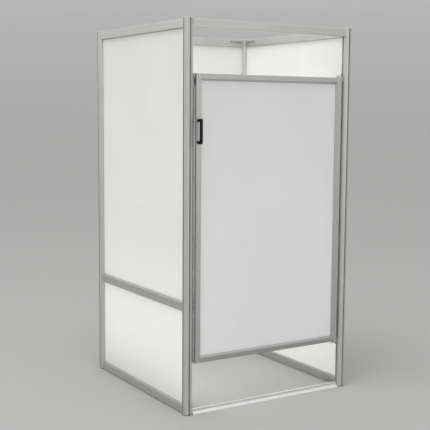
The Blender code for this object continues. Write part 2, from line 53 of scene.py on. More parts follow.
# ---------------------------------------------------------------- places taken from the CAD
def middle_of(node):
    low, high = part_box(node)
    return (low + high) / 2


POSTS = ("front_left", "front_right", "back_left", "back_right")
AXIS = {corner: middle_of(f"post_{corner}") for corner in POSTS}
HALF = (AXIS["front_right"].x - AXIS["front_left"].x) / 2
FRONT_Y = AXIS["front_left"].y
BACK_Y = AXIS["back_left"].y
MID_Y = (FRONT_Y + BACK_Y) / 2
LEAF_LOW, LEAF_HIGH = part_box("door_latch_stile")
PIVOT = middle_of("upper_hinge_pin")
LEAF_BOTTOM = LEAF_LOW.z
LEAF_TOP = LEAF_HIGH.z
LATCH_X = LEAF_LOW.x
HINGE_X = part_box("door_hinge_stile")[1].x

# ---------------------------------------------------------------- sizes that the boxes don't give
GAP = 0.0003  # between a fitting and what it sits in
POST_R = 0.025
SLOT = 0.004  # half of the slot's mouth
LIP = 0.0215  # from the post's axis to the back of the slot's lips
CAVITY = 0.007  # half of the slot's width behind the lips
CAVITY_FLOOR = 0.0145
BORE = 0.008
PLUG_R = BORE - 0.0005  # caps and feet where they enter the bore
BEAM_H = 0.045
BEAM_T = 0.030
WALL = 0.002
PANEL_SLOT = 0.003  # half of the slot that holds a panel
PANEL_SLOT_DEPTH = 0.012
PANEL_T = 0.005
PANEL_EDGE = 0.0006
CAM = 0.110  # from the post's axis to the cam
SADDLE_R = 0.0255  # hollow of a beam's end, round the post
HOOK_BACK, HOOK_FRONT = 0.0152, 0.0208  # a head held behind the slot's lips, from the post's axis
HOOK_HALF, NECK_HALF = 0.006, 0.003
LEAF_HALF = 0.015  # half of the leaf's thickness
FACE = 0.034  # width of a stile or rail
FACE_FLAT = 0.0255  # its flat part, before the bevel
FACE_INNER = 0.006  # half of its thickness at the inner edge
STILE_HOLLOW = (0.007, 0.021, 0.0115)  # from, to, and half of its depth
PIN_HOLE_R = 0.0043
SCREW_HOLE_R = 0.0028
CLAMP_PLATE = (-0.029, -0.026)  # outer and inner face of a hinge bracket's upright, from the post
CLAMP_HEAD = 0.003  # height of a clamp screw's head


# ---------------------------------------------------------------- mesh tools
def rounded(corners, steps=4):
    """A closed outline from (x, y, radius) corners, each with its own rounding."""
    points = []
    for k, (x, y, radius) in enumerate(corners):
        here = Vector((x, y))
        if radius == 0:
            points.append(here)
            continue
        before = (Vector(corners[k - 1][:2]) - here).normalized()
        after = (Vector(corners[(k + 1) % len(corners)][:2]) - here).normalized()
        half = before.angle(after) / 2
        middle = here + (before + after).normalized() * (radius / math.sin(half))
        start = here + before * (radius / math.tan(half)) - middle
        end = here + after * (radius / math.tan(half)) - middle
        first = math.atan2(start.y, start.x)
        sweep = (math.atan2(end.y, end.x) - first + math.pi) % (2 * math.pi) - math.pi
        for j in range(steps + 1):
            t = first + sweep * j / steps
            points.append(middle + Vector((math.cos(t), math.sin(t))) * radius)
    return points


def arc(cx, cy, radius, start, end, steps):
    """Points on an arc, with its ends given in degrees."""
    turns = [math.radians(start + (end - start) * k / steps) for k in range(steps + 1)]
    return [(cx + radius * math.cos(t), cy + radius * math.sin(t)) for t in turns]


def circle(cx, cy, radius, sides):
    return arc(cx, cy, radius, 0, 360, sides)[:-1]


def box_outline(x0, y0, x1, y1, radius=0.0, steps=3):
    corners = [(x0, y0, radius), (x1, y0, radius), (x1, y1, radius), (x0, y1, radius)]
    return rounded(corners, steps)


def turned_round(loop, clockwise):
    """The loop in the wanted sense, so that the solid lies on its left."""
    loop = [Vector(p[:2]) for p in loop]
    area = sum(a.x * b.y - b.x * a.y for a, b in zip(loop, loop[1:] + loop[:1]))
    return loop[::-1] if (area < 0) != clockwise else loop


def moved_in(loop, depth):
    """The loop moved into the solid, which lies on its left."""
    if depth == 0:
        return loop
    moved = []
    for k, here in enumerate(loop):
        back = (here - loop[k - 1]).normalized()
        on = (loop[(k + 1) % len(loop)] - here).normalized()
        normal = Vector((-back.y - on.y, back.x + on.x))
        if normal.length < 1e-6:
            normal = Vector((-on.y, on.x))
        normal.normalize()
        grow = max(0.5, normal.dot(Vector((-on.y, on.x))))
        moved.append(here + normal * (depth / grow))
    return moved


def extrude(loops, low, high, axis="Z", chamfer=0.0):
    """A solid from an outline and its holes, drawn out along an axis, with broken end edges.

    Along Z the outline lies in XY, along X in YZ, and along Y in XZ."""
    bm = bmesh.new()
    stations = [(low, chamfer), (low + chamfer, 0), (high - chamfer, 0), (high, chamfer)]
    if chamfer == 0:
        stations = [(low, 0), (high, 0)]
    ends = ([], [])
    for index, loop in enumerate(loops):
        loop = turned_round(loop, clockwise=index > 0)
        rings = [
            [bm.verts.new((*p, z)) for p in moved_in(loop, inset)] for z, inset in stations
        ]
        for near, far in zip(rings, rings[1:]):
            for k in range(len(near)):
                bm.faces.new((near[k - 1], near[k], far[k], far[k - 1]))
        for edges, ring in zip(ends, (rings[0], rings[-1])):
            edges += [bm.edges.get((ring[k - 1], ring[k])) for k in range(len(ring))]
    for edges in ends:
        bmesh.ops.triangle_fill(bm, use_beauty=True, use_dissolve=False, edges=edges)
    turns = {
        "Z": Matrix.Identity(3),
        "X": Matrix(((0, 0, 1), (1, 0, 0), (0, 1, 0))),
        "Y": Matrix(((1, 0, 0), (0, 0, 1), (0, 1, 0))),
    }
    bmesh.ops.transform(bm, matrix=turns[axis].to_4x4(), verts=bm.verts)
    return to_mesh(bm)


def lathe(profile, sides=32):
    """A solid of revolution round Z. The first and last points lie on the axis."""
    bm = bmesh.new()
    rings = [
        [bm.verts.new((x, y, z)) for x, y in circle(0, 0, r, sides)] for r, z in profile[1:-1]
    ]
    first = bm.verts.new((0, 0, profile[0][1]))
    last = bm.verts.new((0, 0, profile[-1][1]))
    for k in range(sides):
        bm.faces.new((first, rings[0][k], rings[0][k - 1]))
        bm.faces.new((last, rings[-1][k - 1], rings[-1][k]))
        for lower, upper in zip(rings, rings[1:]):
            bm.faces.new((lower[k - 1], lower[k], upper[k], upper[k - 1]))
    return to_mesh(bm)


def to_mesh(bm):
    bmesh.ops.recalc_face_normals(bm, faces=bm.faces)
    mesh = bpy.data.meshes.new("detail")
    bm.to_mesh(mesh)
    bm.free()
    return mesh


def placed(mesh, matrix):
    mesh.transform(matrix)
    if matrix.determinant() < 0:
        mesh.flip_normals()
    return mesh


def applied(mesh, modify):
    """The mesh after the modifiers that modify() adds to a passing object."""
    passing = bpy.data.objects.new("passing", mesh)
    scene.collection.objects.link(passing)
    modify(passing)
    bpy.context.view_layer.update()
    graph = bpy.context.evaluated_depsgraph_get()
    made = bpy.data.meshes.new_from_object(passing.evaluated_get(graph))
    bpy.data.objects.remove(passing)
    return made


def combined(mesh, tools, operation="DIFFERENCE"):
    """The mesh with every tool cut out of it, or joined to it."""
    helpers = []
    for tool in tools:
        helper = bpy.data.objects.new("tool", tool)
        scene.collection.objects.link(helper)
        helpers.append(helper)

    def modify(passing):
        for helper in helpers:
            boolean = passing.modifiers.new("cut", "BOOLEAN")
            boolean.operation = operation
            boolean.solver = "EXACT"
            boolean.object = helper

    made = applied(mesh, modify)
    for helper in helpers:
        bpy.data.objects.remove(helper)
    return made


def softened(mesh, width, segments, angle):
    """The mesh with its edges rounded where they turn by more than the angle, in degrees."""
    def modify(passing):
        bevel = passing.modifiers.new("edges", "BEVEL")
        bevel.width = width
        bevel.segments = segments
        bevel.limit_method = "ANGLE"
        bevel.angle_limit = math.radians(angle)
        bevel.harden_normals = False

    return applied(mesh, modify)


def piece(name, mesh, look, body, instead=(), sharp=38):
    """A named object that rides a body and may stand for CAD nodes.

    Edges that turn by more than sharp, in degrees, stay hard."""
    made = bpy.data.objects.new(name, mesh)
    scene.collection.objects.link(made)
    mesh.name = name
    mesh.materials.clear()
    mesh.materials.append(look)
    mesh.shade_smooth()
    mesh.set_sharp_from_angle(angle=math.radians(sharp))
    weighted = made.modifiers.new("Normals", "WEIGHTED_NORMAL")
    weighted.keep_sharp = True
    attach(made, body)
    if instead:
        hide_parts(*instead)
    return made


# ---------------------------------------------------------------- materials
class Look:
    """A Principled material that grows by small procedural layers."""

    def __init__(self, name, colour, metallic, roughness):
        self.material = bpy.data.materials.new(name)
        self.material.use_nodes = True
        self.tree = self.material.node_tree
        self.shader = self.tree.nodes["Principled BSDF"]
        self.shader.inputs["Base Color"].default_value = (*colour, 1)
        self.shader.inputs["Metallic"].default_value = metallic
        self.shader.inputs["Roughness"].default_value = roughness
        self.colour = None
        self.base = (*colour, 1)
        self.place = self.tree.nodes.new("ShaderNodeTexCoord").outputs["Object"]

    def node(self, kind, **inputs):
        made = self.tree.nodes.new(kind)
        for key, value in inputs.items():
            socket = made.inputs[key.replace("_", " ")]
            if isinstance(value, bpy.types.NodeSocket):
                self.tree.links.new(value, socket)
            else:
                socket.default_value = value
        return made

    def noise(self, scale, detail=2.0, rough=0.5, shift=(0, 0, 0)):
        """Noise with its own scale along each axis, in waves per metre."""
        mapping = self.node("ShaderNodeMapping", Vector=self.place, Scale=scale, Location=shift)
        made = self.node(
            "ShaderNodeTexNoise",
            Vector=mapping.outputs["Vector"],
            Scale=1.0,
            Detail=detail,
            Roughness=rough,
        )
        return made.outputs["Fac"]

    def ramp(self, value, from_low, from_high, to_low, to_high):
        made = self.node("ShaderNodeMapRange", Value=value)
        made.inputs["From Min"].default_value = from_low
        made.inputs["From Max"].default_value = from_high
        made.inputs["To Min"].default_value = to_low
        made.inputs["To Max"].default_value = to_high
        return made.outputs["Result"]

    def multiply(self, a, b):
        made = self.tree.nodes.new("ShaderNodeMath")
        made.operation = "MULTIPLY"
        for socket, value in zip(made.inputs, (a, b)):
            if isinstance(value, bpy.types.NodeSocket):
                self.tree.links.new(value, socket)
            else:
                socket.default_value = value
        return made.outputs[0]

    def tint(self, value, colour):
        """Mixes the colour so far towards another one by value."""
        mix = self.tree.nodes.new("ShaderNodeMix")
        mix.data_type = "RGBA"
        self.tree.links.new(value, mix.inputs["Factor"])
        if self.colour is None:
            mix.inputs["A"].default_value = self.base
        else:
            self.tree.links.new(self.colour, mix.inputs["A"])
        mix.inputs["B"].default_value = (*colour, 1)
        self.colour = mix.outputs["Result"]
        self.tree.links.new(self.colour, self.shader.inputs["Base Color"])

    def roughen(self, value):
        self.tree.links.new(value, self.shader.inputs["Roughness"])

    def bump(self, value, distance, strength=1.0):
        made = self.node("ShaderNodeBump", Height=value, Strength=strength, Distance=distance)
        previous = self.shader.inputs["Normal"]
        if previous.is_linked:
            self.tree.links.new(previous.links[0].from_socket, made.inputs["Normal"])
        self.tree.links.new(made.outputs["Normal"], previous)

    def height(self):
        split = self.node("ShaderNodeSeparateXYZ", Vector=self.place)
        return split.outputs["Z"]


def aluminium(name, colour, roughness, along, painted_shade_factor=0.87):
    """Anodised extrusion: die lines along its length, faint clouding, and dust near the floor.

    Its colour is darkened towards the floor by the given factor: painted shade, for the metal's
    darker look low down."""
    look = Look(name, colour, 1.0, roughness)
    fine = [1100.0, 1100.0, 1100.0]
    broad = [160.0, 160.0, 160.0]
    fine["XYZ".index(along)] = 5.0
    broad["XYZ".index(along)] = 1.6
    lines = look.noise(fine, 3.0, 0.6)
    bands = look.noise(broad, 2.0, 0.5, (3.1, 1.7, 0.4))
    clouds = look.noise((7.0, 7.0, 7.0), 3.0, 0.55, (0.3, 5.2, 1.1))
    darker = tuple(c * 0.86 for c in colour)
    look.tint(look.ramp(bands, 0.35, 0.75, 0.0, 0.55), darker)
    look.tint(look.ramp(clouds, 0.45, 0.80, 0.0, 0.45), darker)
    # painted shade: the colour darkens from 1.3 m down towards the floor
    painted_shade = look.ramp(look.height(), 0.05, 1.30, 0.9, 0.0)
    look.tint(painted_shade, tuple(c * painted_shade_factor for c in colour))
    low = look.ramp(look.height(), 0.0, 0.12, 1.0, 0.0)
    dust = look.ramp(look.noise((60.0, 60.0, 60.0), 4.0, 0.65), 0.48, 0.70, 0.0, 0.35)
    look.tint(look.multiply(low, dust), tuple(c * 0.62 for c in colour))
    look.roughen(look.ramp(lines, 0.25, 0.75, roughness - 0.05, roughness + 0.07))
    look.bump(lines, 0.00003, 0.5)
    look.bump(bands, 0.00006, 0.35)
    return look.material


def laminate(name, colour, roughness=0.50):
    """White laminate on a thin board: orange peel, a slow waviness and a few faint rub marks."""
    look = Look(name, colour, 0.0, roughness)
    look.shader.inputs["Specular IOR Level"].default_value = 0.45
    peel = look.noise((520.0, 520.0, 520.0), 2.0, 0.5)
    wave = look.noise((2.6, 2.6, 1.7), 1.0, 0.4, (0.7, 0.2, 3.0))
    tone = look.noise((3.4, 3.4, 2.3), 3.0, 0.6, (4.0, 1.0, 2.0))
    rubs = look.noise((26.0, 26.0, 90.0), 4.0, 0.7, (1.0, 7.0, 3.0))
    look.tint(look.ramp(tone, 0.35, 0.75, 0.0, 1.0), tuple(c * 0.965 for c in colour))
    low = look.ramp(look.height(), 0.03, 0.45, 0.55, 0.06)
    marks = look.ramp(rubs, 0.60, 0.78, 0.0, 0.30)
    look.tint(look.multiply(low, marks), tuple(c * 0.80 for c in colour))
    look.roughen(look.ramp(rubs, 0.40, 0.75, roughness, roughness + 0.12))
    look.bump(peel, 0.00005, 0.30)
    look.bump(wave, 0.0012, 0.5)
    return look.material


def plastic(name, colour, roughness, grain=900.0, lighter=1.5):
    """Moulded plastic with a fine eroded grain and worn patches."""
    look = Look(name, colour, 0.0, roughness)
    fine = look.noise((grain, grain, grain), 3.0, 0.6)
    wear = look.noise((70.0, 70.0, 70.0), 3.0, 0.6)
    worn = tuple(min(1.0, c * lighter) for c in colour)
    look.tint(look.ramp(wear, 0.50, 0.80, 0.0, 0.5), worn)
    look.roughen(look.ramp(wear, 0.30, 0.75, roughness + 0.06, roughness - 0.06))
    look.bump(fine, 0.00008, 0.45)
    return look.material


def plated(name, colour, roughness):
    """Plated or milled metal: spangle and small scratches."""
    look = Look(name, colour, 1.0, roughness)
    spangle = look.noise((260.0, 260.0, 260.0), 2.0, 0.5)
    scratch = look.noise((1800.0, 90.0, 90.0), 3.0, 0.7)
    look.tint(look.ramp(spangle, 0.35, 0.70, 0.0, 0.7), tuple(c * 0.72 for c in colour))
    look.roughen(look.ramp(scratch, 0.30, 0.70, roughness - 0.06, roughness + 0.10))
    look.bump(scratch, 0.00003, 0.5)
    return look.material


# The posts, beams, stiles and rails are one anodised aluminium. Their different colours are painted
# light and shade, with the posts lightest and the door rails darkest. The last number of each look
# sets how much painted shade darkens it towards the floor.
POST_COLOUR = (0.73, 0.73, 0.703)
BEAM_COLOUR = (0.66, 0.66, 0.64)
LEAF_COLOUR = (0.60, 0.60, 0.59)
STILE_COLOUR = (0.65, 0.65, 0.64)
POST_LOOK = aluminium("post anodised aluminium", POST_COLOUR, 0.50, "Z", 0.92)
BEAM_LOOK = {
    "X": aluminium("beam anodised aluminium along X", BEAM_COLOUR, 0.44, "X"),
    "Y": aluminium("beam anodised aluminium along Y", BEAM_COLOUR, 0.44, "Y"),
}
SILL_LOOK = aluminium("threshold anodised aluminium", (0.93, 0.93, 0.92), 0.38, "X")
STILE_LOOK = aluminium("door stile anodised aluminium", STILE_COLOUR, 0.44, "Z", 0.82)
RAIL_LOOK = aluminium("door rail anodised aluminium", LEAF_COLOUR, 0.44, "X", 0.70)
# One white laminate in three copies: the door's is a little darker, which is painted shade, and the
# left wall's is a little yellower.
LEFT_PANEL_LOOK = laminate("left wall laminate", (0.80, 0.80, 0.768))
PANEL_LOOK = laminate("wall laminate", (0.81, 0.81, 0.80))
DOOR_PANEL_LOOK = laminate("door laminate", (0.78, 0.78, 0.78))
CAP_LOOK = plastic("grey moulded cap", (0.56, 0.56, 0.54), 0.42, lighter=1.15)
BLACK_LOOK = plastic("black moulded plastic", (0.004, 0.004, 0.004), 0.42, lighter=1.8)
BLACK_LOOK.node_tree.nodes["Principled BSDF"].inputs["Specular IOR Level"].default_value = 0.22
NYLON_LOOK = plastic("black nylon", (0.02, 0.02, 0.02), 0.55)
RUBBER_LOOK = plastic("dark rubber seal", (0.075, 0.075, 0.075), 0.62, grain=500.0)
GASKET_LOOK = plastic("grey panel gasket", (0.30, 0.30, 0.295), 0.6, grain=500.0, lighter=1.2)
BEAD_LOOK = plastic("grey rubber bead", (0.16, 0.16, 0.155), 0.6, grain=500.0, lighter=1.3)
LOCK_LOOK = plated("zinc plated lock", (0.40, 0.415, 0.45), 0.44)
STEEL_LOOK = plated("bright steel", (0.55, 0.55, 0.55), 0.30)
BLACK_STEEL_LOOK = plated("black oxide steel", (0.035, 0.035, 0.037), 0.40)
BRACKET_LOOK = plated("milled aluminium", (0.62, 0.62, 0.61), 0.36)


# ---------------------------------------------------------------- posts, caps and feet
def post_loops():
    """The post's section: four lipped slots between four round lobes, and the bore."""
    mouth = math.sqrt(POST_R**2 - SLOT**2)
    edge = math.degrees(math.asin(SLOT / POST_R))
    slot = [
        (mouth, -SLOT, 0.0007),
        (LIP, -SLOT, 0.0005),
        (LIP, -CAVITY, 0.0006),
        (CAVITY_FLOOR, -CAVITY, 0.001),
        (CAVITY_FLOOR, CAVITY, 0.001),
        (LIP, CAVITY, 0.0006),
        (LIP, SLOT, 0.0005),
        (mouth, SLOT, 0.0007),
    ]
    lobe = [(x, y, 0) for x, y in arc(0, 0, POST_R, edge, 90 - edge, 16)[1:-1]]
    corners = []
    for k in range(4):
        c, s = round(math.cos(math.pi / 2 * k)), round(math.sin(math.pi / 2 * k))
        corners += [(x * c - y * s, x * s + y * c, r) for x, y, r in slot + lobe]
    return [rounded(corners, 3), circle(0, 0, BORE, 24)]


def make_cap(corner, place):
    low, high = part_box(f"post_cap_{corner}")
    flange = high.z - 0.004
    rim, dish = 0.0014, 0.0004
    profile = [(0, low.z), (PLUG_R - 0.001, low.z), (PLUG_R, low.z + 0.002), (PLUG_R, flange)]
    profile += [(POST_R - 0.0004, flange), (POST_R, flange + 0.0004)]
    profile += arc(POST_R - rim, high.z - rim, rim, 0, 90, 6)
    profile += [(0.0205, high.z), (0.0195, high.z - dish), (0, high.z - dish)]
    mesh = placed(lathe(profile, 64), place)
    name = f"post_cap_{corner}"
    piece(f"{name}_moulding", mesh, CAP_LOOK, "frame", [name])


def make_foot(corner, place):
    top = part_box(f"foot_plug_{corner}")[1].z
    foot_r, foot_h, recess = 0.022, 0.0030, 0.0006
    profile = [(0, recess), (0.012, recess), (0.0125, 0), (foot_r - 0.0012, 0)]
    profile += [(foot_r - 0.0002, 0.0006), (foot_r, 0.0012), (foot_r, foot_h)]
    profile += [(PLUG_R, foot_h), (PLUG_R, top - 0.001), (PLUG_R - 0.001, top), (0, top)]
    mesh = placed(lathe(profile, 48), place)
    name = f"foot_plug_{corner}"
    piece(f"{name}_moulding", mesh, NYLON_LOOK, "frame", [name])


def make_posts():
    for corner, axis in AXIS.items():
        place = Matrix.Translation((axis.x, axis.y, 0))
        name = f"post_{corner}"
        low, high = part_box(name)
        mesh = placed(extrude(post_loops(), low.z, high.z, "Z", 0.0004), place)
        piece(f"{name}_extrusion", mesh, POST_LOOK, "frame", [name])
        make_cap(corner, place)
        make_foot(corner, place)


# ---------------------------------------------------------------- beams, locks and wall panels
# for each wall, its origin, its turn in degrees, and the axis that its beams run along
WALLS = {
    "front": (Vector((0, FRONT_Y, 0)), 0, "X"),
    "right": (Vector((HALF, MID_Y, 0)), 90, "Y"),
    "back": (Vector((0, BACK_Y, 0)), 180, "X"),
    "left": (Vector((-HALF, MID_Y, 0)), -90, "Y"),
}
# for each level, whether its beam holds a panel below and above
LEVELS = {"top": (True, False), "middle": (True, True), "bottom": (False, True)}


def chamber(slots):
    """Bottom and top of the beam's hollow, which ends at the panel slots."""
    below, above = slots
    plain = BEAM_H / 2 - WALL
    beside = BEAM_H / 2 - PANEL_SLOT_DEPTH - WALL
    return (-beside if below else -plain), (beside if above else plain)


def beam_loops(slots):
    """The beam's section in YZ, with a slot for the panel below, above, or both."""
    below, above = slots
    y, z, s = BEAM_T / 2, BEAM_H / 2, PANEL_SLOT
    floor = z - PANEL_SLOT_DEPTH
    corner, lip = 0.003, 0.0004
    corners = [(-y, -z, corner)]
    if below:
        corners += [(-s, -z, lip), (-s, -floor, lip), (s, -floor, lip), (s, -z, lip)]
    corners += [(y, -z, corner), (y, z, corner)]
    if above:
        corners += [(s, z, lip), (s, floor, lip), (-s, floor, lip), (-s, z, lip)]
    corners += [(-y, z, corner)]
    low, high = chamber(slots)
    return [rounded(corners, 5), box_outline(-y + WALL, low, y - WALL, high, 0.001, 3)]


def beam_mesh(slots, z):
    """A beam in wall space, with a cam hole and a lock window at each end.

    Its ends are hollowed to fit round the posts."""
    reach = HALF - 0.020
    mesh = extrude(beam_loops(slots), -reach, reach, "X")
    centre = sum(chamber(slots)) / 2
    start, end = BEAM_T / 2 - 2 * WALL, BEAM_T
    cam_hole_r, window_r = 0.0065, 0.004
    window_near, window_far = 0.044, 0.088
    tools = []
    for side in (-1, 1):
        tools.append(extrude([circle(side * HALF, 0, SADDLE_R, 96)], -BEAM_H, BEAM_H, "Z"))
        cam_hole = circle(side * (HALF - CAM), centre, cam_hole_r, 32)
        tools.append(extrude([cam_hole], start, end, "Y"))
        near, far = sorted((side * (HALF - window_near), side * (HALF - window_far)))
        window = arc(near, centre, window_r, 90, 270, 10) + arc(far, centre, window_r, -90, 90, 10)
        tools.append(extrude([window], start, end, "Y"))
    return placed(combined(mesh, tools), Matrix.Translation((0, 0, z)))


def lock_mesh(side):
    """A tension lock in wall space: hook, neck, body and the cam with its hexagon socket."""
    neck_end, body_end, body_half = 0.034, 0.118, 0.008
    head = [(HOOK_BACK, -HOOK_HALF), (HOOK_FRONT, -HOOK_HALF), (HOOK_FRONT, -NECK_HALF)]
    head += [(neck_end, -NECK_HALF), (neck_end, -body_half), (body_end, -body_half)]
    head += [(x, -y) for x, y in reversed(head)]
    corners = [(side * (HALF - x), y, 0.0006) for x, y in head]
    body = extrude([rounded(corners, 3)], -0.007, 0.007, "Z", 0.0006)
    cam = side * (HALF - CAM)
    face = BEAM_T / 2 - 0.0022
    barrel_r, socket_r = 0.006, 0.0040
    barrel = extrude([circle(cam, 0, barrel_r, 32)], 0.005, face, "Y", 0.0005)
    plate_near, plate_far, plate_half = 0.0405, 0.0915, 0.0035
    near, far = sorted((side * (HALF - plate_near), side * (HALF - plate_far)))
    plate_outline = box_outline(near, -plate_half, far, plate_half, 0.0034, 6)
    plate = extrude([plate_outline], 0.006, 0.0139, "Y", 0.0004)
    socket = extrude([circle(cam, 0, socket_r, 6)], face - 0.006, face + 0.002, "Y")
    return combined(combined(body, [barrel, plate], "UNION"), [socket])


def make_beam(wall, level, place, look):
    """A beam and the lock at each of its ends. The locks of the middle beams have no CAD node."""
    node = f"{wall}_{level}_beam"
    z = middle_of(node).z
    slots = (False, False) if wall == "front" else LEVELS[level]
    mesh = placed(beam_mesh(slots, z), place)
    piece(f"{node}_extrusion", mesh, look, "frame", [node])
    lift = Matrix.Translation((0, 0, z + sum(chamber(slots)) / 2))
    for side, end in ((-1, "a"), (1, "b")):
        lock = f"{wall}_{level}_lock_{end}"
        instead = [] if level == "middle" else [lock]
        mesh = placed(lock_mesh(side), place @ lift)
        piece(f"{lock}_fitting", mesh, LOCK_LOOK, "frame", instead)


def make_wall_panel(wall, level, place):
    node = f"{wall}_{level}_panel"
    low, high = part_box(node)
    reach = HALF - 0.019
    section = box_outline(-PANEL_T / 2, low.z, PANEL_T / 2, high.z, PANEL_EDGE, 3)
    mesh = placed(extrude([section], -reach, reach, "X", PANEL_EDGE), place)
    look = LEFT_PANEL_LOOK if wall == "left" else PANEL_LOOK
    piece(f"{node}_sheet", mesh, look, "frame", [node])
    hidden = PANEL_SLOT_DEPTH - 0.002
    make_gaskets(f"{wall}_{level}", low.z + hidden, high.z - hidden, place)


def make_walls():
    for wall, (origin, turn, along) in WALLS.items():
        place = Matrix.Translation(origin) @ Matrix.Rotation(math.radians(turn), 4, "Z")
        if wall == "front":
            make_beam(wall, "top", place, BEAM_LOOK[along])
            continue
        for level in LEVELS:
            make_beam(wall, level, place, BEAM_LOOK[along])
        for level in ("lower", "upper"):
            make_wall_panel(wall, level, place)


def make_gaskets(name, low, high, place):
    """Thin grey lips that hold the sheet where it enters the beams."""
    reach = HALF - 0.0265
    inside, lip, tip = 0.004, 0.0002, 0.0016
    for end, z, way in (("low", low, 1), ("high", high, -1)):
        for side, face in (("out", -1), ("in", 1)):
            near = face * (PANEL_T / 2 + 0.0001)
            wall = face * (PANEL_SLOT - 0.0001)
            far = face * (PANEL_SLOT + 0.0009)
            section = [(near, z - way * inside, 0), (wall, z - way * inside, 0)]
            section += [(wall, z + way * lip, 0), (far, z + way * lip, 0.0002)]
            section += [(near, z + way * tip, 0)]
            mesh = placed(extrude([rounded(section, 2)], -reach, reach, "X"), place)
            piece(f"{name}_gasket_{end}_{side}", mesh, GASKET_LOOK, "frame")


# ---------------------------------------------------------------- threshold
def make_threshold():
    """A flanged bar between the front posts, with a peg in each post's slot."""
    flange, flange_h, step_z, half, top = 0.020, 0.001, 0.013, 0.008, 0.025
    side_up = [(flange, 0, 0.0003), (flange, flange_h, 0.0003), (half, step_z, 0.0008)]
    side_up += [(half, top, 0.0010)]
    outline = [(-flange, 0, 0.0003)] + side_up
    outline += [(-y, z, r) for y, z, r in reversed(side_up[1:])]
    reach = HALF - 0.026
    bar = extrude([rounded(outline, 4)], -reach, reach, "X", 0.0005)
    pegs = []
    for side in (-1, 1):
        near, far = sorted((side * (HALF - HOOK_BACK), side * (HALF - 0.036)))
        peg = box_outline(-NECK_HALF, 0.004, NECK_HALF, 0.020, 0.0005)
        pegs.append(extrude([peg], near, far, "X", 0.0004))
    mesh = placed(combined(bar, pegs, "UNION"), Matrix.Translation((0, FRONT_Y, 0)))
    piece("threshold_bar", mesh, SILL_LOOK, "frame", ["threshold"])


# ---------------------------------------------------------------- door leaf
def leaf_loops(outer, inward):
    """The leaf's frame section: bevelled faces, the panel slot and the seal groove."""
    v, s = LEAF_HALF, PANEL_SLOT
    slot_floor = FACE - PANEL_SLOT_DEPTH
    groove, groove_back, groove_front = 0.005, -0.007, -0.011
    outside, ridge, inner, fine = 0.003, 0.0008, 0.0006, 0.0004
    corners = [
        (0, -v, outside),
        (FACE_FLAT, -v, ridge),
        (FACE, -FACE_INNER, inner),
        (FACE, -s, fine),
        (slot_floor, -s, fine),
        (slot_floor, s, fine),
        (FACE, s, fine),
        (FACE, FACE_INNER, inner),
        (FACE_FLAT, v, ridge),
        (0, v, outside),
        (0, groove_back, fine),
        (groove, groove_back, fine),
        (groove, groove_front, fine),
        (0, groove_front, fine),
    ]
    near, far, deep = STILE_HOLLOW
    hole = box_outline(near, -deep, far, deep, 0.001, 3)
    return [[(outer + inward * u, w) for u, w in loop] for loop in (rounded(corners, 4), hole)]


def cope(outer, inward):
    """The stile's bevelled half, which a rail's end is cut to fit round."""
    gap, beyond = 0.0001, 0.001
    slope = (FACE - FACE_FLAT) / (LEAF_HALF - FACE_INNER)
    edge, inner = FACE_FLAT + gap - slope * beyond, FACE + gap
    front = -LEAF_HALF - beyond
    outline = [(0.010, front), (edge, front), (inner, -FACE_INNER)]
    outline += [(u, -w) for u, w in reversed(outline)]
    outline = [(outer + inward * u, w) for u, w in outline]
    return extrude([outline], LEAF_BOTTOM - 0.05, LEAF_TOP + 0.05)


def make_stile(node, edge, inward):
    mesh = extrude(leaf_loops(edge, inward), LEAF_BOTTOM, LEAF_TOP, "Z", 0.0003)
    mesh = placed(mesh, Matrix.Translation((0, FRONT_Y, 0)))
    if node == "door_latch_stile":
        holes = []
        for side in ("upper", "lower"):
            spot = middle_of(f"handle_screw_{side}")
            hole = circle(spot.x, spot.z, SCREW_HOLE_R, 16)
            holes.append(extrude([hole], FRONT_Y - LEAF_HALF * 2, FRONT_Y + LEAF_HALF * 2, "Y"))
        mesh = combined(mesh, holes)
    piece(f"{node}_extrusion", mesh, STILE_LOOK, "door", [node])


def make_leaf_seal(name, edge, inward):
    """The rubber strip in a stile's outer groove."""
    root, mouth, lip = 0.0047, 0.0004, -0.0012
    seal = [(root, -0.0072, 0.0003), (root, -0.0108, 0.0003), (mouth, -0.0108, 0.0002)]
    seal += [(lip, -0.0100, 0.0005), (lip, -0.0080, 0.0005), (mouth, -0.0072, 0.0002)]
    loop = [(edge + inward * p.x, FRONT_Y + p.y) for p in rounded(seal, 4)]
    mesh = extrude([loop], LEAF_BOTTOM + 0.002, LEAF_TOP - 0.002, "Z", 0.0005)
    piece(name, mesh, RUBBER_LOOK, "door")


def make_rail(level, edge, inward):
    overlap = 0.0004
    left, right = LATCH_X + FACE_FLAT - overlap, HINGE_X - FACE_FLAT + overlap
    loops = [[(w, z) for z, w in loop] for loop in leaf_loops(edge, inward)]
    mesh = combined(extrude(loops, left, right, "X"), [cope(LATCH_X, 1), cope(HINGE_X, -1)])
    mesh = placed(mesh, Matrix.Translation((0, FRONT_Y, 0)))
    node = f"door_{level}_rail"
    piece(f"{node}_extrusion", mesh, RAIL_LOOK, "door", [node])


def stile_plug(x0, x1, y):
    """The outline of what closes a stile's hollow at its end."""
    deep = STILE_HOLLOW[2] - GAP
    return box_outline(x0, y - deep, x1, y + deep, 0.001, 3)


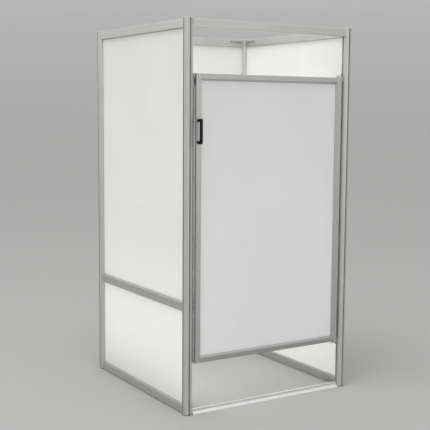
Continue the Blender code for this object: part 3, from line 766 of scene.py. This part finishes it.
def make_leaf():
    for node, edge, inward in (("door_latch_stile", LATCH_X, 1), ("door_hinge_stile", HINGE_X, -1)):
        make_stile(node, edge, inward)
        make_leaf_seal(node.replace("stile", "seal"), edge, inward)
    ends = (("bottom", LEAF_BOTTOM, 1), ("top", LEAF_TOP, -1))
    for level, edge, inward in ends:
        make_rail(level, edge, inward)
    low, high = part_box("door_panel")
    half = PANEL_T / 2
    section = box_outline(FRONT_Y - half, low.z, FRONT_Y + half, high.z, PANEL_EDGE, 3)
    mesh = extrude([section], low.x, high.x, "X", PANEL_EDGE)
    piece("door_panel_sheet", mesh, DOOR_PANEL_LOOK, "door", ["door_panel"])
    hollow_from, hollow_to, _ = STILE_HOLLOW
    for end, z, way in ends:
        plug = stile_plug(LATCH_X + hollow_from + GAP, LATCH_X + hollow_to - GAP, FRONT_Y)
        near, far = sorted((z + way * 0.0002, z + way * 0.012))
        mesh = extrude([plug], near, far, "Z", 0.0004)
        piece(f"latch_stile_plug_{end}", mesh, NYLON_LOOK, "door")


# ---------------------------------------------------------------- handle and its screws
def handle_outline():
    """The bow's side view: two feet and a straight grip."""
    deep, bar, half, foot, pad = 0.0325, 0.009, 0.0645, 0.053, 0.0065
    finger = half - bar - 0.005
    upper = [(0, foot + pad, 0.0006), (deep, half, 0.009)]
    lower = [(x, -z, r) for x, z, r in reversed(upper)]
    inner = [(0, -foot + pad, 0.0006), (deep - bar, -finger, 0.005)]
    inner += [(deep - bar, finger, 0.005), (0, foot - pad, 0.0006)]
    return rounded(upper + lower + inner, 8)


def make_handle_screw(node):
    """A pan head screw with a cross recess, from behind the stile."""
    low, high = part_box(node)
    spot = middle_of(node)
    long = high.y - low.y
    head_h, shank_r = 0.0027, 0.0025
    head = [(0.0048, 0.0003), (0.0048, 0.0009), (0.0042, 0.0017), (0.0030, 0.0024)]
    head += [(0.0014, head_h)]
    profile = [(0, 0), (shank_r - 0.0002, 0), (shank_r, 0.0004), (shank_r, long - head_h)]
    profile += [(r, long - head_h + z) for r, z in head] + [(0, long)]
    arm, half = 0.0019, 0.0004
    cross = [
        extrude([box_outline(-a, -b, a, b)], long - 0.0014, long + 0.001, "Z")
        for a, b in ((arm, half), (half, arm))
    ]
    turn = Matrix.Translation((spot.x, low.y, spot.z))
    turn = turn @ Matrix.Rotation(math.radians(-90), 4, "X")
    mesh = placed(combined(lathe(profile, 24), cross), turn)
    piece(f"{node}_detail", mesh, STEEL_LOOK, "door", [node])


def make_handle():
    low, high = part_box("door_handle")
    centre = middle_of("door_handle")
    loop = [(high.y - p.x, centre.z + p.y) for p in handle_outline()]
    mesh = softened(extrude([loop], low.x, high.x, "X"), 0.0026, 4, 50)
    piece(
        "door_handle_bow", mesh, BLACK_LOOK, "door", ["door_handle"], sharp=60
    )
    make_handle_screw("handle_screw_upper")
    make_handle_screw("handle_screw_lower")


# ---------------------------------------------------------------- hinges and door stop
def make_bracket(name, span, place, leg, screw_z):
    """An arm out to the pin, an upright that takes the screw, and a tongue in the slot."""
    arm_half, back = 0.011, CLAMP_PLATE[1]
    arm = [(back, -arm_half, 0.002), (back, arm_half, 0.002), (leg, arm_half, 0)]
    arm += [(x, y, 0) for x, y in arc(leg, 0, arm_half, 90, 270, 20)[1:-1]]
    arm += [(leg, -arm_half, 0)]
    pin_hole = circle(leg, 0, PIN_HOLE_R, 32)
    mesh = extrude([rounded(arm, 4), pin_hole], *span(0.004, 0.008), "Z", 0.0005)
    low, high = span(-0.018, 0.022)
    upright_outline = box_outline(-0.009, low, 0.009, high, 0.003, 5)
    upright = extrude([upright_outline], *CLAMP_PLATE, "X", 0.0005)
    hook = [(-HOOK_BACK, -HOOK_HALF), (-HOOK_FRONT, -HOOK_HALF)]
    hook += [(-HOOK_FRONT, -NECK_HALF), (-0.027, -NECK_HALF)]
    hook += [(x, -y) for x, y in reversed(hook)]
    tongue = extrude([hook], *span(-0.016, -0.001), "Z", 0.0004)
    mesh = combined(mesh, [upright, tongue], "UNION")
    hole = extrude([circle(0, screw_z, SCREW_HOLE_R, 20)], -0.031, -0.024, "X")
    mesh = placed(combined(mesh, [hole]), place)
    node = f"{name}_hinge_bracket"
    piece(f"{node}_plate", mesh, BRACKET_LOOK, "frame", [node])


def make_clamp_screw(name, place):
    """A socket head screw, with its head towards -Z until it is placed."""
    head_r, shank_r, end = 0.0040, 0.0025, 0.011
    profile = [(0, 0), (head_r - 0.0006, 0), (head_r, 0.0006), (head_r, CLAMP_HEAD)]
    profile += [(shank_r, CLAMP_HEAD), (shank_r, end - 0.0005), (0.0021, end), (0, end)]
    socket = extrude([circle(0, 0, 0.0023, 6)], -0.001, 0.0018, "Z")
    mesh = placed(combined(lathe(profile, 32), [socket]), place)
    node = f"{name}_clamp_screw"
    piece(f"{node}_detail", mesh, BLACK_STEEL_LOOK, "frame", [node])


def make_pin(name, place):
    """A headed hinge pin with a screwdriver slot, with its head at +Z until it is placed."""
    top, tail, pin_r, head_r, head_h = 0.0083, -0.020, 0.004, 0.0065, 0.003
    profile = [(0, tail), (pin_r - 0.001, tail), (pin_r, tail + 0.001), (pin_r, top)]
    profile += [(0.0062, top), (head_r, top + 0.0004), (head_r, top + 0.0022)]
    profile += [(0.0057, top + head_h), (0, top + head_h)]
    slot = extrude([box_outline(-0.009, -0.0006, 0.009, 0.0006)], top + 0.0018, top + 0.004, "Z")
    mesh = placed(combined(lathe(profile, 32), [slot]), place)
    node = f"{name}_hinge_pin"
    piece(f"{node}_detail", mesh, STEEL_LOOK, "frame", [node])


def make_hinge(name, edge, outward):
    """Bracket clamped in the post's slot, its screw and pin, and the bush in the stile.

    edge is the end of the leaf, and outward is 1 above it and -1 below it."""

    def span(a, b):
        return sorted((edge + outward * a, edge + outward * b))

    post = AXIS["front_right"]
    place = Matrix.Translation((post.x, post.y, 0))
    screw_z = edge + outward * 0.016
    make_bracket(name, span, place, PIVOT.x - post.x, screw_z)

    head_x = post.x + CLAMP_PLATE[0] - GAP - CLAMP_HEAD
    spin = Matrix.Translation((head_x, post.y, screw_z))
    make_clamp_screw(name, spin @ Matrix.Rotation(math.radians(90), 4, "Y"))

    stand = Matrix.Translation((PIVOT.x, post.y, edge))
    if outward < 0:
        stand = stand @ Matrix.Rotation(math.pi, 4, "X")
    make_pin(name, stand)

    half = (STILE_HOLLOW[1] - STILE_HOLLOW[0]) / 2 - GAP
    bush = stile_plug(PIVOT.x - half, PIVOT.x + half, post.y)
    low, high = span(-0.025, 0)
    mesh = extrude([bush, circle(PIVOT.x, post.y, PIN_HOLE_R, 32)], low, high, "Z", 0.0004)
    node = f"{name}_hinge_bush"
    piece(f"{node}_detail", mesh, NYLON_LOOK, "door", [node])


def make_door_stop():
    """A bent plate hooked in the latch post's slot, with two rubber pads where the leaf lands."""
    low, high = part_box("door_stop_bracket")
    post = AXIS["front_left"]
    lip, back, tip = 0.0155, 0.0185, 0.062
    inner, outer = 0.031, 0.028
    corners = [
        (HOOK_BACK, -HOOK_HALF, 0.0004),
        (HOOK_FRONT, -HOOK_HALF, 0.0004),
        (HOOK_FRONT, -NECK_HALF, 0.0003),
        (inner, -NECK_HALF, 0.001),
        (inner, lip, 0.001),
        (tip, lip, 0.0008),
        (tip, back, 0.0008),
        (outer, back, 0.002),
        (outer, NECK_HALF, 0.0003),
        (HOOK_FRONT, NECK_HALF, 0.0003),
        (HOOK_FRONT, HOOK_HALF, 0.0004),
        (HOOK_BACK, HOOK_HALF, 0.0004),
    ]
    mesh = extrude([rounded(corners, 4)], low.z, high.z, "Z", 0.0006)
    mesh = placed(mesh, Matrix.Translation((post.x, post.y, 0)))
    node = "door_stop_bracket"
    piece(f"{node}_plate", mesh, BRACKET_LOOK, "frame", [node])
    pad_from, pad_to, pad_half = post.x + 0.040, post.x + 0.058, 0.007
    for end, z in (("lower", low.z + 0.012), ("upper", high.z - 0.012)):
        pad = box_outline(pad_from, z - pad_half, pad_to, z + pad_half, 0.003, 5)
        mesh = extrude([pad], post.y + LEAF_HALF + 0.0001, post.y + lip + 0.0004, "Y", 0.0001)
        piece(f"door_stop_pad_{end}", mesh, RUBBER_LOOK, "frame")


def make_post_seal():
    """Rubber bead in the latch post's slot, which closes the gap beside the leaf."""
    post = AXIS["front_left"]
    root, held, neck, tip = 0.0185, LIP - 0.0002, 0.0270, 0.0318
    wide, narrow = 0.0058, 0.0032
    bead = [(held, -wide, 0.0004), (held, -narrow, 0), (neck, -narrow, 0.0002)]
    bead += [(tip, -0.0028, 0.0012), (tip, 0.0028, 0.0012), (neck, narrow, 0.0002)]
    bead += [(held, narrow, 0), (held, wide, 0.0004), (root, wide, 0.0004), (root, -wide, 0.0004)]
    stop_low, stop_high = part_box("door_stop_bracket")
    parts = (
        ("lower", LEAF_BOTTOM, stop_low.z - 0.001),
        ("upper", stop_high.z + 0.001, LEAF_TOP),
    )
    for name, low, high in parts:
        mesh = extrude([rounded(bead, 4)], low, high, "Z", 0.0003)
        mesh = placed(mesh, Matrix.Translation((post.x, post.y, 0)))
        piece(f"latch_post_seal_{name}", mesh, BEAD_LOOK, "frame")


make_posts()
make_walls()
make_threshold()
make_leaf()
make_handle()
make_hinge("upper", LEAF_TOP, 1)
make_hinge("lower", LEAF_BOTTOM, -1)
make_door_stop()
make_post_seal()


# ---------------------------------------------------------------- floor, light and camera
def make_floor():
    bm = bmesh.new()
    bmesh.ops.create_circle(bm, cap_ends=True, segments=96, radius=90.0)
    floor = bpy.data.objects.new("floor", to_mesh(bm))
    scene.collection.objects.link(floor)
    look = Look("plain pale floor", (0.42, 0.42, 0.415), 0.0, 0.75)
    look.shader.inputs["Specular IOR Level"].default_value = 0.25
    clouds = look.noise((1.2, 1.2, 1.2), 2.0, 0.5)
    look.tint(look.ramp(clouds, 0.3, 0.7, 0.0, 0.5), (0.41, 0.41, 0.405))
    look.bump(look.noise((300.0, 300.0, 300.0), 2.0, 0.5), 0.0002, 0.3)
    floor.data.materials.append(look.material)


def area(name, place, aim, size, power):
    """A white rectangular light, in metres and watts, that the camera can't see."""
    light = bpy.data.lights.new(name, "AREA")
    light.shape = "RECTANGLE"
    light.size, light.size_y = size
    light.energy = power
    made = bpy.data.objects.new(name, light)
    scene.collection.objects.link(made)
    made.location = place
    made.rotation_euler = (Vector(aim) - Vector(place)).to_track_quat("-Z", "Y").to_euler()
    made.visible_camera = False
    return made


def bounce(*args):
    """Soft light thrown back by a pale surface. It leaves no highlight on the metal."""
    area(*args).visible_glossy = False


def make_world():
    """A grey studio sky that brightens from the ground up."""
    world = bpy.data.worlds.new("studio")
    scene.world = world
    world.use_nodes = True
    tree = world.node_tree
    back = tree.nodes["Background"]
    place = tree.nodes.new("ShaderNodeTexCoord")
    split = tree.nodes.new("ShaderNodeSeparateXYZ")
    ramp = tree.nodes.new("ShaderNodeValToRGB")
    tree.links.new(place.outputs["Generated"], split.inputs["Vector"])
    tree.links.new(split.outputs["Z"], ramp.inputs["Fac"])
    tree.links.new(ramp.outputs["Color"], back.inputs["Color"])
    stops = ((0.0, 0.405), (0.10, 0.46), (0.35, 0.82), (1.0, 1.0))
    ramp.color_ramp.elements.remove(ramp.color_ramp.elements[1])
    for k, (position, value) in enumerate(stops):
        stop = ramp.color_ramp.elements[0] if k == 0 else ramp.color_ramp.elements.new(position)
        stop.position = position
        stop.color = (value, value, value, 1)
    back.inputs["Strength"].default_value = 1.0


def make_camera():
    """The photograph's viewpoint, fitted to the booth's edges."""
    data = bpy.data.cameras.new("camera")
    data.sensor_width = 36.0
    data.lens = 76.72
    data.clip_end = 500.0
    camera = bpy.data.objects.new("camera", data)
    scene.collection.objects.link(camera)
    scene.camera = camera
    yaw, pitch, roll = math.radians(31.84), math.radians(6.41), math.radians(0.38)
    level = Vector((math.sin(yaw), math.cos(yaw), 0))
    ahead = level * math.cos(pitch) - Vector((0, 0, math.sin(pitch)))
    right = Vector((math.cos(yaw), -math.sin(yaw), 0))
    up = right.cross(ahead)
    side = right * math.cos(roll) + up * math.sin(roll)
    over = up * math.cos(roll) - right * math.sin(roll)
    turn = Matrix((side, over, -ahead)).transposed()
    camera.matrix_world = Matrix.Translation((-2.7827, FRONT_Y - 3.9362, 1.5402)) @ turn.to_4x4()


make_floor()
make_world()
make_camera()
area("key", (-5.5, -2.5, 4.5), (0, 0, 1.0), (4.0, 3.0), 22)
area("front", (1.5, -7.5, 2.6), (0, 0, 1.0), (7.0, 4.0), 42)
area("back left", (-6.5, 6.0, 3.2), (-0.5, 0.0, 1.5), (5.0, 3.0), 40)
area("inside", (-1.5, -0.8, 6.0), (0.4, 0.3, 1.0), (2.5, 2.5), 92)
bounce("floor bounce left", (-2.3, 0.0, 0.03), (-2.3, 0.0, 2.0), (3.0, 3.5), 24)
bounce("low bounce left", (-1.35, 0.0, 0.03), (-1.35, 0.0, 2.0), (1.4, 2.0), 3.5)
bounce("floor bounce front", (0.0, -2.4, 0.03), (0.0, -2.4, 2.0), (3.0, 3.0), 11)
bounce("wall bounce inside", (-0.44, 0.0, 0.75), (0.44, 0.0, 0.75), (0.85, 1.3), 7.5)
scene.view_settings.view_transform = "Standard"
scene.view_settings.look = "None"
